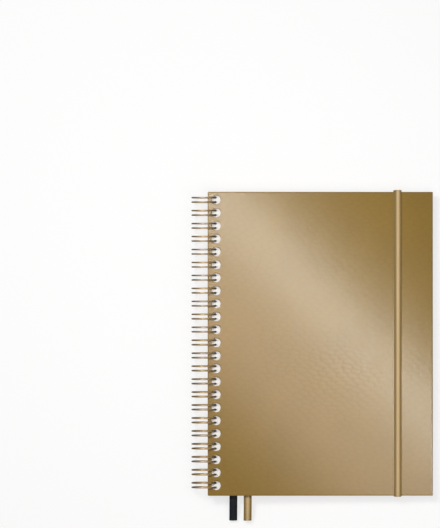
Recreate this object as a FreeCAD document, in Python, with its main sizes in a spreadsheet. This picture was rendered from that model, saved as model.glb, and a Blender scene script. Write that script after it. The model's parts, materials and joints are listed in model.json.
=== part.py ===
import FreeCAD, Part
import math
import os
import re

import Sketcher
from FreeCAD import Placement, Rotation, Vector

# A hard-cover notebook bound with twin-loop wire, closed by an elastic band, with two ribbon markers.
# Book frame, in millimetres: x from the covers' spine edge to the fore edge, y from tail to head with 0 at
# the covers' middle, z up from the back cover's outer face.  The finished pieces are then laid down
# together as the closed book rests on a table: on the wire's loops and on the elastic's back runs.

SIZES = [
    # covers: wrapped boards, alike but for the elastic's seats in the back one
    ("cover_length", 297.5),
    ("cover_width", 220.3),
    ("cover_thickness", 2.0),
    ("cover_edge_round", 0.4),
    ("cover_hole_diameter", 8.8),
    ("cover_hole_inset", 8.0),
    # leaves
    ("leaves_thickness", 10.2),
    ("leaves_inset", 2.5),
    ("leaves_spine_inset", 1.0),
    ("leaves_gap", 0.2),
    ("leaves_rise", 1.8),
    ("leaves_rise_start", 13.0),
    ("leaves_rise_length", 25.0),
    ("leaf_hole_inset", 7.7),
    ("leaf_hole_width", 3.8),
    ("leaf_hole_length", 6.6),
    # the row of holes, and the wire's loops in it
    ("loop_pitch", 12.7),
    ("loop_row_shift", 1.2),
    ("loop_diameter", 25.4),
    ("loop_reach", 9.0),
    ("loop_twin_spacing", 4.4),
    ("wire_diameter", 1.5),
    ("wire_bend_radius", 2.0),
    # elastic band
    ("elastic_width", 7.2),
    ("elastic_thickness", 1.0),
    ("elastic_bend_radius", 0.9),
    ("elastic_inset", 34.3),
    ("elastic_gap", 0.2),
    ("elastic_slot_inset", 14.0),
    ("elastic_tab_length", 12.0),
    # ribbon markers
    ("ribbon_width", 7.8),
    ("ribbon_thickness", 0.3),
    ("ribbon_gap", 0.1),
    ("ribbon_tail", 25.0),
    ("ribbon_droop_radius", 55.0),
    ("ribbon_head_inset", 9.0),
    ("ribbon_black_inset", 25.1),
    ("ribbon_black_height", 4.4),
    ("ribbon_gold_inset", 39.1),
    ("ribbon_gold_height", 7.4),
]

# The wire is drawn in straight runs, so that its many bends stay light; more runs make it rounder.
WIRE_SIDES = 6
LOOP_RUNS = 14
TIP_RUNS = 4
BEND_RUNS = 3

X_AXIS, Y_AXIS, Z_AXIS = Vector(1, 0, 0), Vector(0, 1, 0), Vector(0, 0, 1)
SKETCH_ORIGIN = (-1, 1)
START, END, CENTRE = 1, 2, 3
TOUCHING = 0.000001
SETTLING_STEPS = 4
HALF_TURN, FULL_TURN = math.pi, 2 * math.pi

doc = FreeCAD.newDocument("notebook")


def make_sheet():
    """The spreadsheet that drives every piece, one named cell a row."""
    sheet = doc.addObject("Spreadsheet::Sheet", "Sizes")
    for row, (name, value) in enumerate(SIZES, start=1):
        sheet.set("A%d" % row, name)
        sheet.set("B%d" % row, str(value))
        sheet.setAlias("B%d" % row, name)
    doc.recompute()
    return sheet


sheet = make_sheet()


def size(name):
    """A size's number, for the outlines that are worked out in this script."""
    return float(sheet.get(name))


def in_sheet(words):
    """An expression in which each word that names a size is that cell of the sheet."""
    names = {name for name, _ in SIZES}
    return re.sub(r"\w+", lambda word: "Sizes." + word[0] if word[0] in names else word[0], words)


def bind(obj, prop, words):
    """Ties a property to sizes."""
    obj.setExpression(prop, in_sheet(words))


def worked_out(words):
    """What an expression of sizes comes to."""
    return float(sheet.evalExpression(in_sheet(words)))


# ---------------------------------------------------------------- sketch and body helpers


def new_body(name):
    body = doc.addObject("PartDesign::Body", name)
    body.Label = name
    return body


def origin_feature(body, role):
    return next(f for f in body.Origin.OriginFeatures if f.Role == role)


def new_sketch(body, name, plane, height="0"):
    """A sketch on one of the body's own planes, raised along the plane's normal."""
    sketch = body.newObject("Sketcher::SketchObject", name)
    sketch.AttachmentSupport = [(origin_feature(body, plane), "")]
    sketch.MapMode = "FlatFace"
    bind(sketch, "AttachmentOffset.Base.z", height)
    return sketch


def place_point(sketch, geo, point, across, up):
    """Holds a point, from where it was drawn, at two bound distances from the sketch's origin."""
    drawn = sketch.getPoint(geo, point)
    for kind, value, words in (("DistanceX", drawn.x, across), ("DistanceY", drawn.y, up)):
        index = sketch.addConstraint(Sketcher.Constraint(kind, *SKETCH_ORIGIN, geo, point, value))
        bind(sketch, "Constraints[%d]" % index, words)


def join(sketch, geo_a, point_a, geo_b, point_b):
    sketch.addConstraint(Sketcher.Constraint("Coincident", geo_a, point_a, geo_b, point_b))


def add_rectangle(sketch, left, right, bottom, top):
    """A rectangle between four bound lines."""
    corners = [Vector(0, 0), Vector(1, 0), Vector(1, 1), Vector(0, 1)]
    lines = [Part.LineSegment(corners[i], corners[(i + 1) % 4]) for i in range(4)]
    first = sketch.addGeometry(lines)[0]
    for i, kind in enumerate(("Horizontal", "Vertical") * 2):
        join(sketch, first + i, END, first + (i + 1) % 4, START)
        sketch.addConstraint(Sketcher.Constraint(kind, first + i))
    place_point(sketch, first, START, left, bottom)
    place_point(sketch, first + 2, START, right, top)


def add_circle(sketch, across, up, diameter):
    circle = Part.Circle(Vector(1, 1), Z_AXIS, 1)
    geo = sketch.addGeometry(circle)
    place_point(sketch, geo, CENTRE, across, up)
    index = sketch.addConstraint(Sketcher.Constraint("Diameter", geo, 2 * circle.Radius))
    bind(sketch, "Constraints[%d]" % index, diameter)


def add_pad(body, sketch, name, length, midplane=False):
    pad = body.newObject("PartDesign::Pad", name)
    pad.Profile = sketch
    bind(pad, "Length", length)
    pad.Midplane = midplane
    return pad


def add_pocket(body, sketch, name, depth, reversed_way=False):
    pocket = body.newObject("PartDesign::Pocket", name)
    pocket.Profile = sketch
    bind(pocket, "Length", depth)
    pocket.Reversed = reversed_way
    return pocket


def repeat_along_row(body, feature, name):
    """Repeats a hole once for each loop of the wire, from the tail towards the head."""
    doc.recompute()
    pattern = body.newObject("PartDesign::LinearPattern", name)
    pattern.Originals = [feature]
    pattern.Direction = (origin_feature(body, "Y_Axis"), [""])
    bind(pattern, "Length", ROW_LENGTH)
    bind(pattern, "Occurrences", LOOP_COUNT)
    body.Tip = pattern
    doc.recompute()


# places along the book, and heights of the stack, in the sheet's words; the row has as many loops as the
# leaves' holes have room for along the leaves' edge
ROW_ROOM = "( cover_length - 2 * leaves_inset - 2 * abs(loop_row_shift) - leaf_hole_length )"
ROW_GAPS = "floor(" + ROW_ROOM + " / loop_pitch)"
LOOP_COUNT = ROW_GAPS + " + 1"
ROW_LENGTH = "loop_pitch * " + ROW_GAPS
FIRST_LOOP = "loop_row_shift - " + ROW_LENGTH + " / 2"
LEAVES_UNDER = "cover_thickness + leaves_gap"
LEAVES_TOP = LEAVES_UNDER + " + leaves_thickness"
FRONT_INNER = LEAVES_TOP + " + leaves_gap"


def leaves_under():
    return size("cover_thickness") + size("leaves_gap")


def stack_height():
    return 2 * leaves_under() + size("leaves_thickness")


# ---------------------------------------------------------------- covers


def rim_of(shape, z):
    """The names of the edges that lie at one height."""
    edges = enumerate(shape.Edges, start=1)
    return ["Edge%d" % i for i, edge in edges if all(abs(v.Z - z) < TOUCHING for v in edge.Vertexes)]


def make_cover(name, height, outer_face):
    """A wrapped board, softly rounded round its outer face, with the row of round holes.
    outer_face is how far up the board's thickness that face lies: 1 in front, 0 at the back."""
    body = new_body(name)
    outline = new_sketch(body, name + "_outline", "XY_Plane", height)
    add_rectangle(outline, "0", "cover_width", "- cover_length / 2", "cover_length / 2")
    board = add_pad(body, outline, name + "_board", "cover_thickness")
    doc.recompute()
    outer = board.Shape.BoundBox.ZMin + outer_face * size("cover_thickness")
    rounding = body.newObject("PartDesign::Fillet", name + "_rounding")
    rounding.Base = (board, rim_of(board.Shape, outer))
    bind(rounding, "Radius", "cover_edge_round")
    hole = new_sketch(body, name + "_hole_outline", "XY_Plane", height)
    add_circle(hole, "cover_hole_inset", FIRST_LOOP, "cover_hole_diameter")
    pocket = add_pocket(body, hole, name + "_hole", "cover_thickness", reversed_way=True)
    repeat_along_row(body, pocket, name + "_holes")
    return body


def make_front_cover():
    return make_cover("front_cover", FRONT_INNER, 1)


def cut_elastic_seat(body, end, side):
    """The slot that lets the elastic through the back cover, and the sunk bed of its glued end.
    side is 1 at the head and -1 at the tail."""
    half_width = "( elastic_width / 2 + elastic_gap )"
    left = "cover_width - elastic_inset - " + half_width
    right = "cover_width - elastic_inset + " + half_width
    # the slot is as long as the elastic's two bends in it need
    outer = side + " * ( cover_length / 2 - elastic_slot_inset )"
    inner = side + " * ( cover_length / 2 - elastic_slot_inset - 2 * elastic_bend_radius )"
    bed_end = inner + " - " + side + " * elastic_tab_length"
    slot = new_sketch(body, end + "_slot_outline", "XY_Plane")
    add_rectangle(slot, left, right, inner, outer)
    add_pocket(body, slot, end + "_slot", "cover_thickness", reversed_way=True)
    bed = new_sketch(body, end + "_bed_outline", "XY_Plane", "cover_thickness")
    add_rectangle(bed, left, right, bed_end, outer)
    return add_pocket(body, bed, end + "_bed", "elastic_thickness")


def make_back_cover():
    body = make_cover("back_cover", "0", 0)
    cut_elastic_seat(body, "head", "1")
    body.Tip = cut_elastic_seat(body, "tail", "-1")
    return body


# ---------------------------------------------------------------- leaves


def draw_leaves_side(sketch):
    """The block's side: lifted at the spine, and let down to the back cover by two equal tangent arcs."""
    rise, run = size("leaves_rise"), size("leaves_rise_length")
    radius = (run * run + rise * rise) / (4 * rise)
    turn = math.asin(run / 2 / radius)
    near, far = size("leaves_spine_inset"), size("cover_width") - size("leaves_inset")
    start = Vector(size("leaves_rise_start"), leaves_under() + rise)
    end = start + Vector(run, -rise)
    high = leaves_under() + size("leaves_thickness")
    over = Part.Circle(start - Vector(0, radius), Z_AXIS, radius)
    under = Part.Circle(end + Vector(0, radius), Z_AXIS, radius)
    quarter = HALF_TURN / 2
    edges = [
        Part.LineSegment(Vector(near, start.y), start),
        Part.ArcOfCircle(over, quarter - turn, quarter),
        Part.ArcOfCircle(under, 3 * quarter - turn, 3 * quarter),
        Part.LineSegment(end, Vector(far, end.y)),
        Part.LineSegment(Vector(far, end.y), Vector(far, high)),
        Part.LineSegment(Vector(far, high), Vector(near, high)),
        Part.LineSegment(Vector(near, high), Vector(near, start.y)),
    ]
    lifted, crown, dip, flat, fore, top, spine = sketch.addGeometry(edges)
    join(sketch, lifted, END, crown, END)
    join(sketch, crown, START, dip, START)
    join(sketch, dip, END, flat, START)
    for before, after in ((flat, fore), (fore, top), (top, spine), (spine, lifted)):
        join(sketch, before, END, after, START)
    bend = "( leaves_rise_length ^ 2 + leaves_rise ^ 2 ) / ( 4 * leaves_rise )"
    for arc in (crown, dip):
        index = sketch.addConstraint(Sketcher.Constraint("Radius", arc, radius))
        bind(sketch, "Constraints[%d]" % index, bend)
    raised = LEAVES_UNDER + " + leaves_rise"
    fore_edge = "cover_width - leaves_inset"
    places = [
        (lifted, START, "leaves_spine_inset", raised),
        (lifted, END, "leaves_rise_start", raised),
        (crown, START, "leaves_rise_start + leaves_rise_length / 2", LEAVES_UNDER + " + leaves_rise / 2"),
        (dip, END, "leaves_rise_start + leaves_rise_length", LEAVES_UNDER),
        (flat, END, fore_edge, LEAVES_UNDER),
        (fore, END, fore_edge, LEAVES_TOP),
        (top, END, "leaves_spine_inset", LEAVES_TOP),
    ]
    for geo, point, across, up in places:
        place_point(sketch, geo, point, across, up)


def cut_ribbon_channel(body, colour):
    """The thin space between two leaves that a ribbon lies in, open at the tail."""
    channel = new_sketch(
        body, colour + "_channel_outline", "XZ_Plane", "ribbon_head_inset - cover_length / 2 - ribbon_gap"
    )
    middle, height = "ribbon_%s_inset" % colour, LEAVES_UNDER + " + ribbon_%s_height" % colour
    half_width = " ( ribbon_width / 2 + ribbon_gap )"
    half_height = " ( ribbon_thickness / 2 + ribbon_gap )"
    add_rectangle(
        channel,
        middle + " -" + half_width,
        middle + " +" + half_width,
        height + " -" + half_height,
        height + " +" + half_height,
    )
    return add_pocket(body, channel, colour + "_channel", "cover_length", reversed_way=True)


def make_page_block():
    """All the leaves as one solid, punched for the wire, with the ribbons' channels between them."""
    body = new_body("page_block")
    side = new_sketch(body, "leaves_side", "XZ_Plane")
    draw_leaves_side(side)
    add_pad(body, side, "leaves", "cover_length - 2 * leaves_inset", midplane=True)
    hole = new_sketch(body, "leaf_hole_outline", "XY_Plane")
    half_length = " leaf_hole_length / 2"
    add_rectangle(
        hole,
        "leaf_hole_inset - leaf_hole_width / 2",
        "leaf_hole_inset + leaf_hole_width / 2",
        FIRST_LOOP + " -" + half_length,
        FIRST_LOOP + " +" + half_length,
    )
    punched = add_pocket(body, hole, "leaf_hole", FRONT_INNER, reversed_way=True)
    repeat_along_row(body, punched, "leaf_holes")
    cut_ribbon_channel(body, "black")
    body.Tip = cut_ribbon_channel(body, "gold")
    return body


# ---------------------------------------------------------------- swept pieces: wire, elastic, ribbons


def make_path(name, shape):
    path = doc.addObject("Part::Feature", name)
    path.Shape = shape
    return path


def make_sweep(name, path, section, corners="Transformed"):
    sweep = doc.addObject("Part::Sweep", name)
    sweep.Label = name
    sweep.Spine = (path, ["Edge%d" % (i + 1) for i in range(len(path.Shape.Edges))])
    sweep.Sections = [section]
    sweep.Solid = True
    sweep.Frenet = False
    sweep.Transition = corners
    return sweep


def loop_points():
    """The corners of one loop of the wire, about y = 0: from the base bar on the tail side, round the
    ring to the hairpin tip between the bars, and back round to the base bar on the head side."""
    radius = (size("loop_diameter") - size("wire_diameter")) / 2
    bend, half_gap = size("wire_bend_radius"), size("loop_twin_spacing") / 2
    centre = Vector(size("loop_reach") - size("loop_diameter") / 2, 0, stack_height() / 2)
    # bars and tips lie in the middle of the space under the lifted leaves
    seam = size("cover_thickness") + (size("leaves_gap") + size("leaves_rise")) / 2 - centre.z
    base = math.asin(seam / math.hypot(radius, bend)) - math.atan2(bend, radius)
    tip = math.asin(seam / math.hypot(radius, half_gap)) + math.atan2(half_gap, radius) - FULL_TURN

    def on_ring(angle):
        return centre + Vector(math.cos(angle), 0, math.sin(angle)) * radius

    def along_ring(angle):
        return Vector(-math.sin(angle), 0, math.cos(angle))

    points = []
    for i in range(BEND_RUNS):
        turn = HALF_TURN / 2 * i / BEND_RUNS
        out = Y_AXIS * (half_gap + bend * (1 - math.sin(turn)))
        points.append(on_ring(base) + out + along_ring(base) * (bend * math.cos(turn)))
    for i in range(LOOP_RUNS + 1):
        points.append(on_ring(base + (tip - base) * i / LOOP_RUNS) + Y_AXIS * half_gap)
    for i in range(1, TIP_RUNS // 2):
        turn = HALF_TURN * i / TIP_RUNS
        across = Y_AXIS * (half_gap * math.cos(turn))
        points.append(on_ring(tip) + across - along_ring(tip) * (half_gap * math.sin(turn)))
    apex = on_ring(tip) - along_ring(tip) * half_gap
    tail_side = [Vector(p.x, -p.y, p.z) for p in points]
    return tail_side + [apex] + points[::-1]


def make_wire():
    """The whole binding: one wire bent into twin loops, joined by base bars under the last leaf."""
    loop = loop_points()
    first = worked_out(FIRST_LOOP)
    stub = Y_AXIS * (size("loop_pitch") / 2 - loop[-1].y)
    points = []
    for i in range(round(worked_out(LOOP_COUNT))):
        points += [p + Y_AXIS * (first + i * size("loop_pitch")) for p in loop]
    points = [points[0] - stub] + points + [points[-1] + stub]
    path = make_path("wire_path", Part.makePolygon(points))
    section = doc.addObject("Part::RegularPolygon", "wire_section")
    section.Polygon = WIRE_SIDES
    bind(section, "Circumradius", "wire_diameter / 2")
    section.Placement = Placement(points[0], Rotation(X_AXIS, 90))
    return make_sweep("wire_binding", path, section, "Right corner")


def make_strap(name, path, middle, width, thickness):
    """A flat strap along a path in the book's own length, its section square to the path's start."""
    start = path.Shape.Edges[0].Vertexes[0].Point
    section = doc.addObject("Part::Plane", name + "_section")
    bind(section, "Length", width)
    bind(section, "Width", thickness)
    corner = Vector(middle - size(width) / 2, start.y, start.z - size(thickness) / 2)
    section.Placement = Placement(corner, Rotation(X_AXIS, 90))
    return make_sweep(name, path, section)


def rounded_path(points, radius):
    """Straight runs between square corners, each corner an arc of the radius."""
    edges, start = [], points[0]
    for before, corner, after in zip(points, points[1:], points[2:]):
        arrive, leave = (corner - before).normalize(), (after - corner).normalize()
        centre = corner + (leave - arrive) * radius
        middle = centre + (arrive - leave).normalize() * radius
        edges.append(Part.LineSegment(start, corner - arrive * radius).toShape())
        edges.append(Part.Arc(corner - arrive * radius, middle, corner + leave * radius).toShape())
        start = corner + leave * radius
    edges.append(Part.LineSegment(start, points[-1]).toShape())
    return Part.Wire(edges)


def make_elastic():
    """One band: over the front cover, round the head and tail edges, through the back cover's slots,
    each end glued down in the bed on the back cover's inner side."""
    half = size("elastic_thickness") / 2
    middle = size("cover_width") - size("elastic_inset")
    edge = size("cover_length") / 2 + size("elastic_gap") + half
    above = stack_height() + size("elastic_gap") + half
    below = -size("elastic_gap") - half
    bed = size("cover_thickness") - half
    slot = size("cover_length") / 2 - size("elastic_slot_inset") - size("elastic_bend_radius")
    tab = slot - size("elastic_bend_radius") - size("elastic_tab_length") + size("elastic_gap")
    head_side = [(tab, bed), (slot, bed), (slot, below), (edge, below), (edge, above)]
    tail_side = [(-y, z) for y, z in reversed(head_side)]
    points = [Vector(middle, y, z) for y, z in head_side + tail_side]
    path = make_path("elastic_path", rounded_path(points, size("elastic_bend_radius")))
    return make_strap("elastic_band", path, middle, "elastic_width", "elastic_thickness")


def make_ribbon(colour):
    """A marker: flat between two leaves from near the head, its tail hanging in one easy curve."""
    middle = size("ribbon_%s_inset" % colour)
    height = leaves_under() + size("ribbon_%s_height" % colour)
    half_cover = size("cover_length") / 2
    head = Vector(middle, half_cover - size("ribbon_head_inset"), height)
    leaving = Vector(middle, size("leaves_inset") - half_cover, height)
    radius = size("ribbon_droop_radius")
    droop = math.asin((size("ribbon_tail") + size("leaves_inset")) / radius)
    centre = leaving - Z_AXIS * radius

    def on_droop(angle):
        return centre + (Z_AXIS * math.cos(angle) - Y_AXIS * math.sin(angle)) * radius

    line = Part.LineSegment(head, leaving).toShape()
    arc = Part.Arc(leaving, on_droop(droop / 2), on_droop(droop)).toShape()
    path = make_path("ribbon_%s_path" % colour, Part.Wire([line, arc]))
    return make_strap("ribbon_" + colour, path, middle, "ribbon_width", "ribbon_thickness")


# ---------------------------------------------------------------- laying down, checking and writing


def leaned(shape, axis, angle):
    """A copy turned about the line of the loops' centres, and its box."""
    copy = shape.copy()
    copy.Placement = Placement(Vector(), Rotation(Y_AXIS, angle), axis) * copy.Placement
    return copy.optimalBoundingBox(False)


def rest_angle(loops, band, axis):
    """How far the book leans until the elastic's back runs lie as low as the wire's loops."""
    reach = size("cover_width") - size("elastic_inset") - axis.x
    angle = 0.0
    for _ in range(SETTLING_STEPS):
        gap = leaned(band, axis, angle).ZMin - leaned(loops, axis, angle).ZMin
        angle += math.degrees(math.atan2(gap, reach))
    return angle


def lay_down(pieces, loops, band):
    """Turns all the pieces together about the loops' axis, then puts the origin under their middle."""
    axis = Vector(size("loop_reach") - size("loop_diameter") / 2, 0, stack_height() / 2)
    angle = rest_angle(loops.Shape, band.Shape, axis)
    box = FreeCAD.BoundBox()
    for piece in pieces:
        box.add(leaned(piece.Shape, axis, angle))
    shift = Vector(-box.Center.x, -box.Center.y, -box.ZMin)
    for piece in pieces:
        piece.Placement = Placement(shift, Rotation()) * Placement(Vector(), Rotation(Y_AXIS, angle), axis)
    print("leans %.3f degrees about the line x %.4f, z %.4f" % (angle, axis.x + shift.x, axis.z + shift.z))


def check(pieces):
    """Stops before anything is written if an object failed or a piece is not one good solid."""
    failed = [o.Name for o in doc.Objects if {"Invalid", "Error"} & set(o.State)]
    if failed:
        raise RuntimeError("failed objects: " + ", ".join(failed))
    for piece in pieces:
        shape = piece.Shape
        if shape.isNull() or not shape.isValid() or len(shape.Solids) != 1:
            raise RuntimeError(piece.Label + " is not one valid solid")


def main():
    wire, elastic = make_wire(), make_elastic()
    pieces = [
        make_front_cover(),
        make_back_cover(),
        make_page_block(),
        wire,
        elastic,
        make_ribbon("black"),
        make_ribbon("gold"),
    ]
    doc.recompute()
    check(pieces)
    lay_down(pieces, wire, elastic)
    doc.recompute()
    check(pieces)
    os.makedirs("parts", exist_ok=True)
    for piece in pieces:
        piece.Shape.exportStep("parts/%s.step" % piece.Label)
        print(piece.Label, round(piece.Shape.Volume), "mm3", len(piece.Shape.Faces), "faces")


main()
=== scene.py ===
"""The looks of the wire-bound notebook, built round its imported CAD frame.

Pieces are drawn in the book's own frame, in millimetres: x from the covers' spine edge to the fore edge,
y from tail to head with 0 at the covers' middle, z up from the back cover's outer face.  to_world() lays
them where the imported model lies, in metres.
"""

import json
import math

import bpy
import bmesh
import numpy as np
from mathutils import Matrix, Vector

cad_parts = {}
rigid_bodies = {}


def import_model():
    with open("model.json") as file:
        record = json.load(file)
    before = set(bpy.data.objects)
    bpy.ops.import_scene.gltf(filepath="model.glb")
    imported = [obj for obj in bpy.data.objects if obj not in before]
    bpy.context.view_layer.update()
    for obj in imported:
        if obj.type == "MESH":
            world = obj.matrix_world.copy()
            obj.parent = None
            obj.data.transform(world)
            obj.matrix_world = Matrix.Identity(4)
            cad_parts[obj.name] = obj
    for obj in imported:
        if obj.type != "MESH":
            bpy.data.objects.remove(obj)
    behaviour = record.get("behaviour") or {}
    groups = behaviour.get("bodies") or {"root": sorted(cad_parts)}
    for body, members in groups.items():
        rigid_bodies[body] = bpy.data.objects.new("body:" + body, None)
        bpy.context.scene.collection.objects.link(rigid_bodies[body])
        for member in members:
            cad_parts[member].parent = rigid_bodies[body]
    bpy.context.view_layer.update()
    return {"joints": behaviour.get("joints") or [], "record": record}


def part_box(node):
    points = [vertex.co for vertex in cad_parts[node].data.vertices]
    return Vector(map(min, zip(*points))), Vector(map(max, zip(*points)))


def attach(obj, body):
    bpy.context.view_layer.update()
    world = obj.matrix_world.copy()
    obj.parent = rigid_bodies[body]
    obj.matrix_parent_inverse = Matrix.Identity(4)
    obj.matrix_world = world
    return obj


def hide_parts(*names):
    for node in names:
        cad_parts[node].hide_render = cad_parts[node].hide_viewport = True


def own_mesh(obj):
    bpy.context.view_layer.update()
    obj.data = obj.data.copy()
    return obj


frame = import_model()

# ---------------------------------------------------------------- sizes, in millimetres

MM = 0.001
COVER_WIDTH, COVER_THICKNESS = 220.3, 2.0
EDGE_ROUND, INNER_ROUND = 0.5, 0.25
HOLE_INSET, HOLE_RADIUS, HOLE_LIP = 8.0, 4.4, 0.25
HOLE_CELLS = 12
LOOP_COUNT, LOOP_PITCH, ROW_SHIFT = 23, 12.7, 1.2
ENDPAPER_THICKNESS, ENDPAPER_MARGIN, ENDPAPER_HOLE_ROOM, ENDPAPER_BLOCK = 0.12, 2.5, 0.05, 10.6

# the embossed scales: their size, the rows' slope, the grooves' width, how far a scale's middle strays
# along and across its row, and how the distance to it counts each way
SCALE_LENGTH, SCALE_HEIGHT, SCALE_SLOPE, SCALE_GROOVE = 10.5, 4.2, 0.16, 1.7
SCALE_SCATTER, SCALE_REACH = (0.7, 0.5), (0.6, 1.25)
# the grooves' depth, and how far from a hole or an edge they come to it
HOLE_FADE, EDGE_FADE = 1.5, 6.0
SCALE_DEPTH, DEEPER_BY, DEEPEST_AT, DEEPER_WITHIN = 0.024, 0.055, (140.0, -28.0), (58.0, 30.0)

LEAVES_THICKNESS, LEAVES_GAP, LEAVES_INSET, LEAVES_SPINE_INSET = 10.2, 0.2, 2.5, 1.0
LEAVES_RISE, RISE_START, RISE_LENGTH = 1.8, 13.0, 25.0
LEAF_COUNT, LEAF_STAGGER, STAGGER_LENGTH = 68, 0.07, 30
LEAF_LINES = [60.0, 90.0, 120.0, 150.0, 180.0]
LEAF_HOLE_INSET, LEAF_HOLE_WIDTH, LEAF_HOLE_LENGTH, LEAF_TONGUE = 7.7, 3.8, 6.6, 2.4

WIRE_RADIUS, RING_CENTRE_X = 0.75, -3.7
TWIN_SPACING, BEND_RADIUS, WIRE_SIDES = 4.4, 2.0, 12

ELASTIC_WIDTH, ELASTIC_THICKNESS, ELASTIC_GAP = 7.2, 1.0, 0.2
ELASTIC_INSET, ELASTIC_BEND, SLOT_INSET, TAB_LENGTH = 34.3, 0.9, 14.0, 12.0
ELASTIC_CORDS, ELASTIC_SLACK, CORD_DEPTH, ELASTIC_STEP = 9, 0.8, 0.06, 6.0
CUT_OVERSHOOT = 1.0

RIBBON_WIDTH, RIBBON_THICKNESS, RIBBON_ROOM = 7.8, 0.3, 0.1
RIBBON_TAIL, RIBBON_DROOP, RIBBON_HEAD_INSET, RIBBON_ARCH, RIBBON_STEP = 25.0, 55.0, 9.0, 0.55, 8.0
RIBBONS = {"black": (25.1, 4.4), "gold": (39.1, 7.4)}

STACK = 2 * (COVER_THICKNESS + LEAVES_GAP) + LEAVES_THICKNESS
LEAVES_BOTTOM = COVER_THICKNESS + LEAVES_GAP
LEAVES_TOP = LEAVES_BOTTOM + LEAVES_THICKNESS
# places nearer than this are one
NEAR = 0.01
# a piece's second material is for the sides that a knife or a punch has cut
CUT_SIDE = 1

# ---------------------------------------------------------------- where the frame says the book lies

cover_low, cover_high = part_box("front_cover")
COVER_LENGTH = (cover_high.y - cover_low.y) / MM
MIDDLE_Y = (cover_high.y + cover_low.y) / 2
HINGE = Vector(frame["joints"][0]["pos_m"])
mount_axis = next(m for m in frame["record"]["mounts"] if m["name"] == "fore_edge")["axis"]
LEAN = math.atan2(-mount_axis[2], mount_axis[0])
LOOP_YS = [ROW_SHIFT + LOOP_PITCH * (i - (LOOP_COUNT - 1) / 2) for i in range(LOOP_COUNT)]
RING_CENTRE = np.array([RING_CENTRE_X, 0.0, STACK / 2])
RING_RADIUS = HINGE.z / MM - WIRE_RADIUS
TO_WORLD = (
    Matrix.Translation((HINGE.x, MIDDLE_Y, HINGE.z))
    @ Matrix.Rotation(LEAN, 4, "Y")
    @ Matrix.Scale(MM, 4)
    @ Matrix.Translation(-Vector(RING_CENTRE))
)


def to_world(x, y, z):
    """A point of the book's frame in metres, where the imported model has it."""
    return TO_WORLD @ Vector((x, y, z))


# ---------------------------------------------------------------- mesh helpers


def noise(a, b):
    """The same number from 0 to 1 for the same pair of numbers."""
    return np.mod(np.sin(np.asarray(a) * 127.1 + np.asarray(b) * 311.7) * 43758.5453, 1.0)


class Build:
    """A mesh in the making: points, faces with a material number each, and named values at the points."""

    def __init__(self):
        self.points, self.faces, self.slots, self.values = [], [], [], {}

    def add(self, points):
        """Adds points and returns their numbers."""
        start = len(self.points)
        self.points.extend(tuple(float(c) for c in p) for p in points)
        return list(range(start, len(self.points)))

    def face(self, corners, slot=0):
        """A face, with corners that coincide dropped."""
        kept = [c for i, c in enumerate(corners) if c != corners[i - 1]]
        if len(set(kept)) > 2:
            self.faces.append(kept)
            self.slots.append(slot)

    def bridge(self, ring, following, slot=0):
        """Quads between two closed rings of as many points."""
        for i in range(len(ring)):
            j = (i + 1) % len(ring)
            self.face((ring[i], ring[j], following[j], following[i]), slot)

    def finish(self, name, materials, sharp_angle=35.0):
        """The object, in place in metres, its faces turned outwards."""
        mesh = bpy.data.meshes.new(name)
        mesh.from_pydata(self.points, [], self.faces)
        mesh.polygons.foreach_set("material_index", self.slots)
        for key, values in self.values.items():
            layer = mesh.attributes.new(key, "FLOAT", "POINT")
            layer.data.foreach_set("value", np.asarray(values, np.float32))
        for material in materials:
            mesh.materials.append(material)
        mesh.transform(TO_WORLD)
        work = bmesh.new()
        work.from_mesh(mesh)
        bmesh.ops.recalc_face_normals(work, faces=work.faces)
        work.to_mesh(mesh)
        work.free()
        mesh.shade_smooth()
        mesh.set_sharp_from_angle(angle=math.radians(sharp_angle))
        piece = bpy.data.objects.new(name, mesh)
        bpy.context.scene.collection.objects.link(piece)
        return piece


def place(piece, body, slot, *nodes):
    """Hands a finished piece to the frame."""
    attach(piece, body)
    if nodes:
        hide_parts(*nodes)
    return piece


def divided(stops, steps):
    """Lines through the stops, each stretch divided evenly into parts no longer than its step."""
    lines = [stops[0]]
    for low, high, step in zip(stops, stops[1:], steps):
        parts = max(1, math.ceil((high - low) / step - 1e-6))
        lines += [low + (high - low) * (i + 1) / parts for i in range(parts)]
    return lines


def turns_round(count):
    """Angles once round a hole, from the direction of its block's low corner."""
    return -0.75 * math.pi + np.arange(count) * 2 * math.pi / count


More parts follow.
